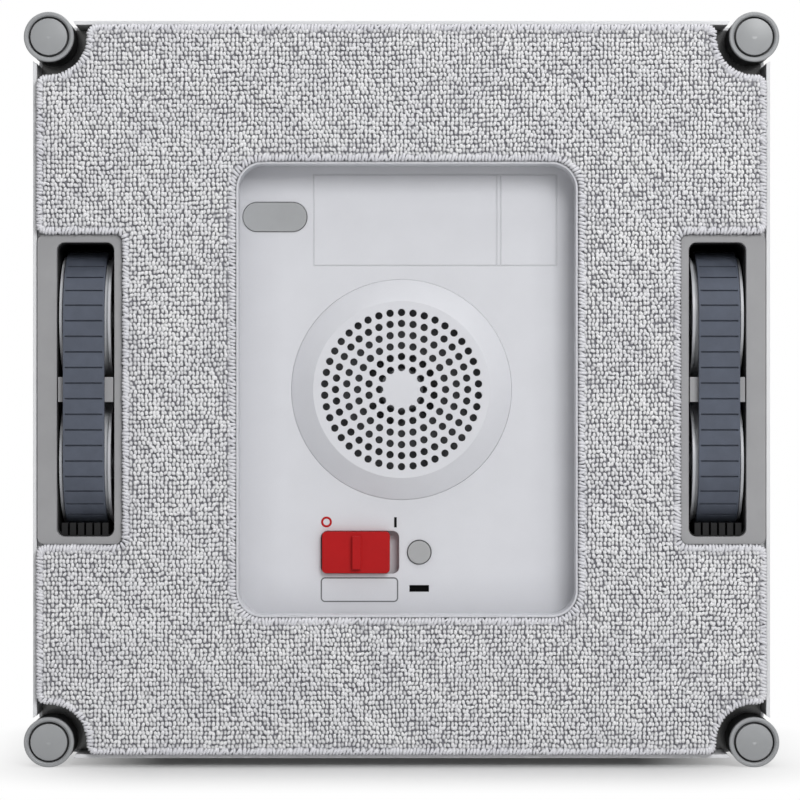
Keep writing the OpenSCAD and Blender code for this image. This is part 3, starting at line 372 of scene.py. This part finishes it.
def yarn_with_painted_shade(name, pale, deep_painted_shade, front, back):
    """Microfibre yarn, pale on its crowns and darker towards the backing: the darkening with depth is
    painted shade.
    """
    mat, tree, shader, coords = new_material(name)
    # Painted shade: the colour darkens with depth behind the glass, where the gaps between loops and
    # stitches lie in shade
    split = tree.nodes.new("ShaderNodeSeparateXYZ")
    tree.links.new(coords, split.inputs["Vector"])
    depth = remap(tree, split.outputs["Y"], (front, back))
    tint = tones(tree, depth.outputs["Result"], (0.0, 1.0), shade(*pale), shade(*deep_painted_shade))
    mottle = noise(tree, coords, PATCH_WAVES, 3.0)
    patch = tones(tree, mottle, PATCH_STOPS, *(shade(*tone) for tone in PATCH_TONES))
    tree.links.new(multiply(tree, tint, patch), shader.inputs["Base Color"])
    shader.inputs["Roughness"].default_value = 0.86
    shader.inputs["Sheen Weight"].default_value = 0.25
    shader.inputs["Sheen Roughness"].default_value = 0.4
    shader.inputs["Specular IOR Level"].default_value = 0.2
    bump(tree, shader, noise(tree, coords, FUZZ_WAVES, 3.0), FUZZ_DEPTH)
    return mat


def glow_ring(name):
    """Frosted light guide, unlit."""
    mat = plastic(name, (196, 216, 232), 0.4, vary=0.02)
    shader = mat.node_tree.nodes["Principled BSDF"]
    shader.inputs["Subsurface Weight"].default_value = 0.3
    shader.inputs["Subsurface Scale"].default_value = 1.0 * MM
    return mat


MATERIALS = {
    "shell_white": plastic("shell_white", (238, 239, 241), 0.34, grain=0.0015, vary=0.008, coat=0.1),
    # Chamber floor and walls in grey, with painted shade towards their inner corners
    "chamber_grey": plastic_with_painted_shade("chamber_grey", (224, 225, 230), reach=15 * MM, darkest_painted_shade=0.75),
    "bezel_grey": plastic("bezel_grey", (160, 160, 162), 0.5, vary=0.03),
    "well_black": plastic("well_black", (18, 18, 19), 0.6, shine=0.25),
    "tread_rubber": rubber("tread_rubber", (78, 84, 97), 0.75),
    "wheel_grey": plastic("wheel_grey", (196, 198, 202), 0.35),
    "steel": metal("steel", (196, 197, 200), 0.28, (1.0, 1.0, 0.1)),
    "brass_pinion": metal("brass_pinion", (214, 180, 110), 0.3),
    "gear_white": plastic("gear_white", (232, 229, 216), 0.4),
    "inner_black": plastic("inner_black", (44, 44, 46), 0.5),
    "motor_can": metal("motor_can", (178, 179, 183), 0.35, (0.1, 1.0, 1.0)),
    "fan_grey": plastic("fan_grey", (118, 119, 122), 0.5),
    "fan_light": plastic("fan_light", (206, 207, 210), 0.4),
    "board_green": plastic("board_green", (26, 84, 50), 0.35, coat=0.4),
    "battery_wrap": plastic("battery_wrap", (52, 96, 150), 0.25, coat=0.4),
    "corner_black": plastic("corner_black", (24, 24, 26), 0.22, grain=0.002, coat=0.8),
    "roller_rubber": rubber("roller_rubber", (32, 32, 34), 0.5),
    "cap_grey": plastic("cap_grey", (160, 162, 164), 0.34, grain=0.006),
    "hook_tape": rubber("hook_tape", (74, 74, 78), 0.8),
    # Pad loops with painted shade, darker towards the backing
    "terry": yarn_with_painted_shade("terry_loops", (254, 254, 255), (132, 132, 138), front=0.45 * MM, back=1.6 * MM),
    "knob_red": plastic("knob_red", (180, 14, 18), 0.45, grain=0.006, vary=0.05, shine=0.22),
    "button_grey": plastic("button_grey", (172, 173, 174), 0.35, grain=0.004),
    "sensor_grey": plastic("sensor_grey", (168, 170, 172), 0.2, grain=0.002, coat=0.5),
    "soft_grip": rubber("soft_grip", (66, 66, 69), 0.7),
    "light_ring": glow_ring("light_ring"),
    "port_black": plastic("port_black", (9, 9, 10), 0.8, shine=0.05),
    "seal_foam": rubber("seal_foam", (66, 66, 68), 0.85),
}
# Stitches with painted shade, darker where they turn in behind the pad's front
STITCH_YARN = yarn_with_painted_shade("stitch_yarn", (240, 240, 244), (112, 112, 118), front=0.6 * MM, back=2.6 * MM)
# Backing with painted shade: its front is grey, darker than the loops, where the gaps between them lie in
# shade
BACKING_CLOTH_PAINTED_SHADE = yarn_with_painted_shade("backing_cloth_painted_shade", (150, 150, 156), (205, 205, 209), front=BACKING_FRONT, back=4.0 * MM)
PRINT_RED = plastic("print_red", (184, 20, 24), 0.6, shine=0.2)
PRINT_BLACK = plastic("print_black", (12, 12, 13), 0.7, shine=0.1)
PRINT_GREY = plastic("print_grey", (112, 114, 116), 0.6, shine=0.2)


def dress_nodes():
    """Gives each CAD node its material."""
    slots = {row["node"]: row["material_slot"] for row in frame["record"]["subparts"]}
    for name, obj in NODES.items():
        for slot in obj.material_slots:
            slot.material = MATERIALS[slots[name]]


def add_print(name, verts, faces, material, body):
    """A flat print from corners and faces that rides on a body."""
    mesh = bpy.data.meshes.new(name)
    mesh.from_pydata(verts, [], faces)
    add_piece(name, mesh, material, body, smooth=False)


def add_piece(name, mesh, material, body, smooth=True):
    """An object of one material that rides on a body."""
    mesh.materials.append(material)
    if smooth:
        mesh.polygons.foreach_set("use_smooth", [True] * len(mesh.polygons))
    mesh.update()
    obj = bpy.data.objects.new(name, mesh)
    bpy.context.scene.collection.objects.link(obj)
    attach(obj, body)
    return obj


def front_edges(mesh):
    """Border edges of a mesh's frontmost flat face, each point with the one that follows."""
    co = np.zeros(len(mesh.vertices) * 3)
    mesh.vertices.foreach_get("co", co)
    co = co.reshape(-1, 3)
    front = co[:, 1].min()
    keys = [tuple(np.round(p * KEYS_PER_METRE).astype(int)) for p in co]
    edges = {}
    for poly in mesh.polygons:
        ids = list(poly.vertices)
        if any(co[i, 1] > front + FRONT_SLACK for i in ids):
            continue
        for a, b in zip(ids, ids[1:] + ids[:1]):
            pair = (keys[a], keys[b])
            if pair[::-1] in edges:
                del edges[pair[::-1]]
            else:
                edges[pair] = True
    return {a: b for a, b in edges}


def front_loops(node):
    """Closed outlines of a node's frontmost flat face, as arrays of X and Z."""
    follow = front_edges(NODES[node].data)
    loops = []
    while follow:
        start, at = next(iter(follow.items()))
        del follow[start]
        ring = [start]
        while at != start:
            ring.append(at)
            at = follow.pop(at)
        loops.append(np.array([(k[0], k[2]) for k in ring]) * KEY_STEP)
    return loops


def resample(ring, pitch):
    """Evenly spaced points along a closed outline, with the direction at each."""
    closed = np.vstack([ring, ring[:1]])
    step = np.linalg.norm(np.diff(closed, axis=0), axis=1)
    along = np.concatenate([[0], np.cumsum(step)])
    count = max(LEAST_POINTS, int(round(along[-1] / pitch)))
    at = np.arange(count) * along[-1] / count
    points = np.column_stack([np.interp(at, along, closed[:, k]) for k in (0, 1)])
    ahead = np.roll(points, -1, axis=0) - np.roll(points, 1, axis=0)
    return points, ahead / np.linalg.norm(ahead, axis=1)[:, None]


def inside(points, loops):
    """Whether each point lies within the outlines, holes left out."""
    odd = np.zeros(len(points), bool)
    x, z = points[:, 0], points[:, 1]
    for ring in loops:
        ahead = np.roll(ring, -1, axis=0)
        for (x0, z0), (x1, z1) in zip(ring, ahead):
            if z0 == z1:
                continue
            crosses = (z0 > z) != (z1 > z)
            odd ^= crosses & (x < x0 + (z - z0) * (x1 - x0) / (z1 - z0))
    return odd


def edge_distance(points, loops):
    """Distance of each point from the nearest outline, in batches that keep the memory small."""
    best = np.full(len(points), 1.0)
    for ring in loops:
        edge, _ = resample(ring, EDGE_STEP)
        for part in np.array_split(np.arange(len(points)), DISTANCE_BATCHES):
            gap = points[part, None, :] - edge[None, :, :]
            best[part] = np.minimum(best[part], np.sqrt((gap ** 2).sum(axis=2)).min(axis=1))
    return best


def tubes(name, spine, across, radius, sides, material, body):
    """One mesh of many short tubes. spine is count x rings x 3, across the sideways direction of each."""
    count, rings, _ = spine.shape
    along = np.gradient(spine, axis=1)
    along /= np.linalg.norm(along, axis=2)[..., None]
    side = np.repeat(across[:, None, :], rings, axis=1)
    up = np.cross(along, side)
    turn = np.linspace(0, 2 * math.pi, sides, endpoint=False)
    ring = np.cos(turn)[None, None, :, None] * side[:, :, None, :] + (
        np.sin(turn)[None, None, :, None] * up[:, :, None, :])
    verts = spine[:, :, None, :] + radius[:, :, None, None] * ring
    base = np.arange(count)[:, None, None] * rings * sides
    row = np.arange(rings - 1)[None, :, None] * sides
    col = np.arange(sides)[None, None, :]
    nxt = (col + 1) % sides
    quads = np.stack([base + row + col, base + row + nxt, base + row + sides + nxt,
                      base + row + sides + col], axis=-1).reshape(-1, 4)
    return add_piece(name, quad_mesh(name, verts, quads), material, body)


def quad_mesh(name, verts, quads):
    """A mesh of quads, filled from whole arrays."""
    mesh = bpy.data.meshes.new(name)
    mesh.vertices.add(verts.size // 3)
    mesh.vertices.foreach_set("co", verts.reshape(-1))
    mesh.loops.add(quads.size)
    mesh.loops.foreach_set("vertex_index", quads.reshape(-1))
    mesh.polygons.add(len(quads))
    mesh.polygons.foreach_set("loop_start", np.arange(len(quads)) * 4)
    mesh.update(calc_edges=True)
    return mesh


def soft_waves(points):
    """Slow unevenness of the cloth, from minus one to one."""
    x, z = points[:, 0] / MM, points[:, 1] / MM
    waves = np.sin(WAVE_X[0] * x + WAVE_X[1] * np.sin(WAVE_X[2] * z))
    waves = waves + np.sin(WAVE_Z[0] * z + WAVE_Z[1] * np.sin(WAVE_Z[2] * x))
    return (waves + np.sin(WAVE_SLANT[0] * x + WAVE_SLANT[1] * z)) / 3


def loop_places(loops):
    """Centres of the pad's loops, in jittered rows, clear of the stitched edges."""
    low = np.min([ring.min(axis=0) for ring in loops], axis=0)
    high = np.max([ring.max(axis=0) for ring in loops], axis=0)
    rows = np.arange(low[1], high[1], LOOP_PITCH_Z)
    cols = np.arange(low[0], high[0], LOOP_PITCH_X)
    x, z = np.meshgrid(cols, rows)
    x = x + ROW_SHIFT_SHARE * LOOP_PITCH_X * (np.arange(len(rows)) % 2)[:, None]
    points = np.column_stack([x.ravel(), z.ravel()])
    bend = soft_waves(points[:, ::-1] * ROW_BEND_SCALE)
    points[:, 1] += ROW_BEND_SHARE * LOOP_PITCH_Z * bend
    points += RNG.normal(0, LOOP_JITTER, points.shape)
    keep = inside(points, loops)
    points = points[keep]
    gap = edge_distance(points, loops)
    keep = gap > EDGE_BAND - EDGE_BAND_SLACK
    return points[keep], gap[keep]


def loop_turns(points):
    """Turn of each loop in the pad's plane: mostly upright, and a few that lie across."""
    count = len(points)
    lean = RNG.normal(0, LEAN_SPREAD, count)
    lean = lean + LEAN_WAVE * soft_waves(points[:, ::-1] * LEAN_WAVE_SCALE)
    wild = RNG.random(count) < WILD_SHARE
    lean[wild] = RNG.uniform(-WILD_LEAN, WILD_LEAN, wild.sum())
    return lean


def loop_spines(points, gap, along, arch):
    """Centre line of each loop, an arch along its direction. Near the pad's edge the loops lie deeper."""
    count = len(points)
    half = LOOP_HALF * RNG.uniform(*LOOP_HALF_RANGE, count)
    top = LOOP_TOP + LOOP_TOP_WAVE * soft_waves(points) + RNG.normal(0, LOOP_TOP_SPREAD, count)
    top += EDGE_LIFT * np.exp(-(gap - EDGE_BAND) / EDGE_LIFT_REACH)
    top = np.maximum(top, LOOP_TUBE + LOOP_CLEAR)
    centre = np.column_stack([points[:, 0], np.zeros(count), points[:, 1]])
    reach = half[:, None] * np.sin(arch)[None, :]
    spine = centre[:, None, :] + along[:, None, :] * reach[..., None]
    spine[:, :, 1] += top[:, None] + LOOP_RISE * (1 - np.cos(arch))[None, :]
    return spine


def pad_loops(loops):
    """Thousands of small arched loops, in four pieces from the lowest to the highest."""
    points, gap = loop_places(loops)
    count = len(points)
    lean = loop_turns(points)
    along = np.column_stack([np.sin(lean), np.zeros(count), np.cos(lean)])
    across = np.column_stack([np.cos(lean), np.zeros(count), -np.sin(lean)])
    arch = np.linspace(-LOOP_ARCH, LOOP_ARCH, LOOP_RINGS)
    spine = loop_spines(points, gap, along, arch)
    thin = (1 - LOOP_THIN * arch ** 2)[None, :]
    radius = LOOP_TUBE * RNG.uniform(*LOOP_TUBE_RANGE, count)[:, None] * thin
    quarter = np.argsort(np.argsort(points[:, 1])) * len(PAD_PARTS) // count
    for k, part in enumerate(PAD_PARTS):
        pick = quarter == k
        piece = tubes(f"pad_loops_{part}", spine[pick], across[pick], radius[pick], LOOP_SIDES,
                      MATERIALS["terry"], "pad")
        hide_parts("cleaning_pad")


def stitch_spines(points, ahead, inward, profile):
    """Centre line of each stitch, along the profile and slanted along the edge."""
    count = len(points)
    reach = RNG.uniform(*STITCH_REACH_RANGE, count)
    slant = RNG.normal(STITCH_SLANT, STITCH_SLANT_SPREAD, count)
    inset = STITCH_TUBE + profile[None, :, 0] * reach[:, None]
    shift = slant[:, None] * profile[None, :, 0]
    place = points[:, None, :] + inward[:, None, :] * inset[..., None]
    place = place + ahead[:, None, :] * shift[..., None]
    depth = profile[None, :, 1] + RNG.normal(0, STITCH_DEPTH_SPREAD, (count, 1))
    depth = np.broadcast_to(depth, place.shape[:2])
    return np.stack([place[..., 0], depth, place[..., 1]], axis=-1)


def pad_stitches(loops):
    """Overlock stitches round every edge of the pad, each a strand from the side onto the front."""
    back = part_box("cleaning_pad")[1][1]
    profile = np.array([(STITCH_FOOT_INWARD, back - STITCH_FOOT)] + STITCH_PATH)
    for k, ring in enumerate(loops):
        points, ahead = resample(ring, STITCH_PITCH)
        count = len(points)
        inward = np.column_stack([-ahead[:, 1], ahead[:, 0]])
        within = inside(points + inward * STITCH_PROBE, loops)
        inward[~within] *= -1
        spine = stitch_spines(points, ahead, inward, profile)
        across = np.column_stack([ahead[:, 0], np.zeros(count), ahead[:, 1]])
        even = np.ones(len(profile))[None, :]
        radius = STITCH_TUBE * RNG.uniform(*STITCH_TUBE_RANGE, count)[:, None] * even
        tubes(f"pad_stitches_{k}", spine, across, radius, STITCH_SIDES, STITCH_YARN, "pad")


def pad_backing():
    """Knitted cloth under the loops, from the pad's outline, with its front set back; its grey front is
    painted shade in the gaps between the loops.
    """
    source = NODES["cleaning_pad"].data
    bm = bmesh.new()
    bm.from_mesh(source)
    bmesh.ops.remove_doubles(bm, verts=bm.verts, dist=MERGE_GAP)
    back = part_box("cleaning_pad")[1][1]
    for vert in bm.verts:
        vert.co.y = BACKING_FRONT if vert.co.y < 0.5 * back else back
    bm.normal_update()
    for vert in bm.verts:
        sideways = Vector((vert.normal.x, 0, vert.normal.z))
        if sideways.length > SIDE_FACING:
            vert.co -= sideways.normalized() * BACKING_INSET
    mesh = bpy.data.meshes.new("pad_backing")
    bm.to_mesh(mesh)
    bm.free()
    piece = add_piece("pad_backing", mesh, BACKING_CLOTH_PAINTED_SHADE, "pad", smooth=False)
    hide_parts("cleaning_pad")


def shell_normals(mesh):
    """Shading directions: true to the sphere on the dome and square on large flat faces."""
    normals = []
    for face in mesh.polygons:
        for corner in face.vertices:
            reach = mesh.vertices[corner].co - DOME_MIDDLE
            outward = reach.normalized()
            if abs(reach.length - DOME_R) < DOME_SLACK and face.normal.dot(outward) > DOME_FACING:
                normals.append(outward)
            elif face.area > FLAT_AREA:
                normals.append(face.normal)
            else:
                normals.append(Vector((0, 0, 0)))
    return normals


def smooth_shells():
    """The back casing and its hub, the same shapes with their round edges shaded smooth."""
    for node in ("top_shell", "back_hub"):
        bm = bmesh.new()
        bm.from_mesh(NODES[node].data)
        bmesh.ops.remove_doubles(bm, verts=bm.verts, dist=SHELL_MERGE_GAP)
        mesh = bpy.data.meshes.new(f"{node}_smooth")
        bm.to_mesh(mesh)
        bm.free()
        piece = add_piece(f"{node}_smooth", mesh, MATERIALS["shell_white"], "casing")
        mesh.set_sharp_from_angle(angle=math.radians(SHARP_ANGLE))
        if node == "top_shell":
            mesh.normals_split_custom_set(shell_normals(mesh))
        else:
            even = piece.modifiers.new("even_normals", "WEIGHTED_NORMAL")
            even.keep_sharp = True
        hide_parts(node)


def ring_points(r):
    """Points round a circle."""
    turns = [2 * math.pi * k / RING_STEPS for k in range(RING_STEPS)]
    return [(r * math.cos(a), r * math.sin(a)) for a in turns]


def rounded_rect(w, h, r, steps=8):
    """Points round a rectangle with round corners."""
    points = []
    for cx, cz, start in ((w / 2 - r, h / 2 - r, 0), (r - w / 2, h / 2 - r, 90),
                          (r - w / 2, r - h / 2, 180), (w / 2 - r, r - h / 2, 270)):
        for k in range(steps + 1):
            a = math.radians(start + 90 * k / steps)
            points.append((cx + r * math.cos(a), cz + r * math.sin(a)))
    return points


def print_outline(name, x, z, outer, inner, depth, material, body):
    """Flat printed line between two outlines with equally many points."""
    count = len(outer)
    verts, faces = [], []
    for (ox, oz), (ix, iz) in zip(outer, inner):
        for px, pz in ((ox, oz), (ix, iz)):
            for y in (depth - PRINT_T, depth + PRINT_T):
                verts.append((x + px, y, z + pz))
    for k in range(count):
        a, b = 4 * k, 4 * ((k + 1) % count)
        faces += [(a, b, b + 2, a + 2), (a, a + 1, b + 1, b), (a + 2, b + 2, b + 3, a + 3)]
    add_print(name, verts, faces, material, body)


def print_bar(name, x, z, w, h, depth, material, body):
    """Flat printed bar."""
    verts = [(x + sx * w / 2, depth + sy * PRINT_T, z + sz * h / 2)
             for sx in (-1, 1) for sy in (-1, 1) for sz in (-1, 1)]
    faces = [(0, 1, 5, 4), (0, 2, 3, 1), (4, 5, 7, 6), (0, 4, 6, 2), (1, 3, 7, 5)]
    add_print(name, verts, faces, material, body)


def chamber_prints():
    """The switch's marks and the label's frame, on the chamber's floor."""
    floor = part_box("sensor_window")[0][1] + WINDOW_PROUD
    print_outline("print_off_mark", O_MARK_X, O_MARK_Z, ring_points(O_MARK_OUT), ring_points(O_MARK_IN),
                  floor, PRINT_RED, "casing")
    print_bar("print_on_mark", I_MARK_X, I_MARK_Z, I_MARK_W, I_MARK_H, floor, PRINT_BLACK,
              "casing")
    inner = rounded_rect(LABEL_W - 2 * LABEL_LINE, LABEL_H - 2 * LABEL_LINE, LABEL_R - LABEL_LINE)
    print_outline("print_label_frame", LABEL_X, LABEL_Z, rounded_rect(LABEL_W, LABEL_H, LABEL_R), inner,
                  floor, PRINT_GREY, "casing")


def floor_material():
    """Floor that keeps the object's real shadow near its foot, grey there and turning to plain white
    further off: the fade is a painted shadow round the foot.
    """
    mat, tree, shader, coords = new_material("studio_floor")
    shader.inputs["Base Color"].default_value = (FLOOR_SHADE, FLOOR_SHADE, FLOOR_SHADE, 1.0)
    shader.inputs["Roughness"].default_value = 0.9
    shader.inputs["Specular IOR Level"].default_value = 0.0
    away = coords
    for operation, vector in (("SUBTRACT", FOOT_MIDDLE), ("ABSOLUTE", None), ("SUBTRACT", FOOT_HALF),
                              ("MAXIMUM", (0, 0, 0)), ("LENGTH", None)):
        node = tree.nodes.new("ShaderNodeVectorMath")
        node.operation = operation
        tree.links.new(away, node.inputs[0])
        if vector is not None:
            node.inputs[1].default_value = vector
        away = node.outputs["Value" if operation == "LENGTH" else "Vector"]
    # Painted shadow: near the foot the lit grey floor shows, further off the white glow for the camera
    # takes over
    far = remap(tree, away, (SHADOW_FADE_FROM, SHADOW_FADE_TO))
    far.interpolation_type = "SMOOTHSTEP"
    glow = tree.nodes.new("ShaderNodeEmission")
    share = tree.nodes.new("ShaderNodeMath")
    share.operation = "MULTIPLY"
    tree.links.new(far.outputs["Result"], share.inputs[0])
    tree.links.new(seen_by_camera(tree), share.inputs[1])
    blend(tree, share.outputs["Value"], shader.outputs["BSDF"], glow.outputs["Emission"], "Material Output")
    return mat


def studio_floor():
    """Floor just under the lower rollers."""
    half = FLOOR_SIZE / 2
    mesh = bpy.data.meshes.new("studio_floor")
    mesh.from_pydata([(-half, -half, 0), (half, -half, 0), (half, half, 0), (-half, half, 0)], [],
                     [(0, 1, 2, 3)])
    mesh.materials.append(floor_material())
    floor = bpy.data.objects.new("studio_floor", mesh)
    floor.location = (0, 0, FLOOR_Z)
    bpy.context.scene.collection.objects.link(floor)


def backdrop(tree, strength):
    """White background of one strength."""
    node = tree.nodes.new("ShaderNodeBackground")
    node.inputs["Color"].default_value = (1, 1, 1, 1)
    node.inputs["Strength"].default_value = strength
    return node.outputs["Background"]


def studio_world():
    """World that is plain white to the eye and lights the part more faintly."""
    world = bpy.data.worlds.new("studio_world")
    world.use_nodes = True
    tree = world.node_tree
    blend(tree, seen_by_camera(tree), backdrop(tree, WORLD_LEVEL), backdrop(tree, 1.0), "World Output")
    bpy.context.scene.world = world


def lamp(name, place, size, power):
    """Square area lamp that faces the middle of the cleaning face."""
    data = bpy.data.lights.new(name, "AREA")
    data.shape = "SQUARE"
    data.size = size
    data.energy = power
    obj = bpy.data.objects.new(name, data)
    obj.location = place
    obj.rotation_euler = (-Vector(place)).to_track_quat("-Z", "Y").to_euler()
    bpy.context.scene.collection.objects.link(obj)


def camera():
    """Camera straight on, level with the photograph's middle."""
    data = bpy.data.cameras.new("camera")
    data.lens = LENS
    data.sensor_width = SENSOR
    obj = bpy.data.objects.new("camera", data)
    obj.location = (CAMERA_X, -CAMERA_DISTANCE, CAMERA_Z)
    obj.rotation_euler = (math.pi / 2, 0, 0)
    bpy.context.scene.collection.objects.link(obj)
    bpy.context.scene.camera = obj


dress_nodes()
outlines = front_loops("cleaning_pad")
pad_backing()
pad_loops(outlines)
pad_stitches(outlines)
smooth_shells()
chamber_prints()
studio_floor()
studio_world()
lamp("key_above", KEY_PLACE, KEY_SIZE, KEY_POWER)
lamp("fill_front", FRONT_PLACE, FRONT_SIZE, FRONT_POWER)
camera()
bpy.context.scene.view_settings.view_transform = "Standard"
